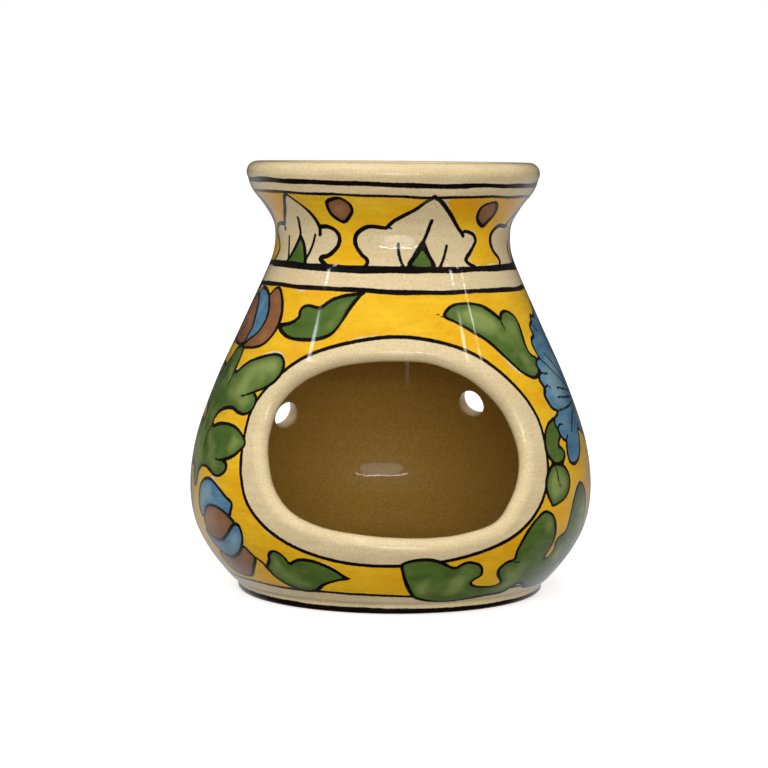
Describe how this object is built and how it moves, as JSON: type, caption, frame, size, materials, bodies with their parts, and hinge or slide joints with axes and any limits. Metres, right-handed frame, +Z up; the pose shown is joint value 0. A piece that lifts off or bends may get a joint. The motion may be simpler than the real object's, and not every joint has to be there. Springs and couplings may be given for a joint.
{
  "type": "ceramic oil lamp burner",
  "caption": "Round-bellied glazed clay lamp with a wide flame window, back vents, a waisted neck with a rolled lip, and a lift-out oil dish.",
  "frame": {"origin": "centre of the foot ring on the surface that the lamp stands on", "axes": "+Z up along the axis of the pot, -Y out of the flame window, +X to the right as seen from the window side"},
  "size_m": [0.1008, 0.1, 0.1069],
  "materials": {
    "pot_glaze": "hand-painted yellow, green, blue and black on cream under a clear gloss glaze, bare clay on the foot ring",
    "neck_glaze": "hand-painted yellow with cream lotus flowers and black lines under a clear gloss glaze",
    "dish_glaze": "cream gloss glaze with fine clay specks"
  },
  "bodies": {
    "burner": {"chamber_pot": "pot_glaze", "neck_collar": "neck_glaze"},
    "dish": {"oil_dish": "dish_glaze"}
  },
  "joints": [
    {"name": "dish_lift", "type": "slide", "parent": "burner", "child": "dish", "axis": [0, 0, 1], "range_m": [0, 0.04]}
  ]
}
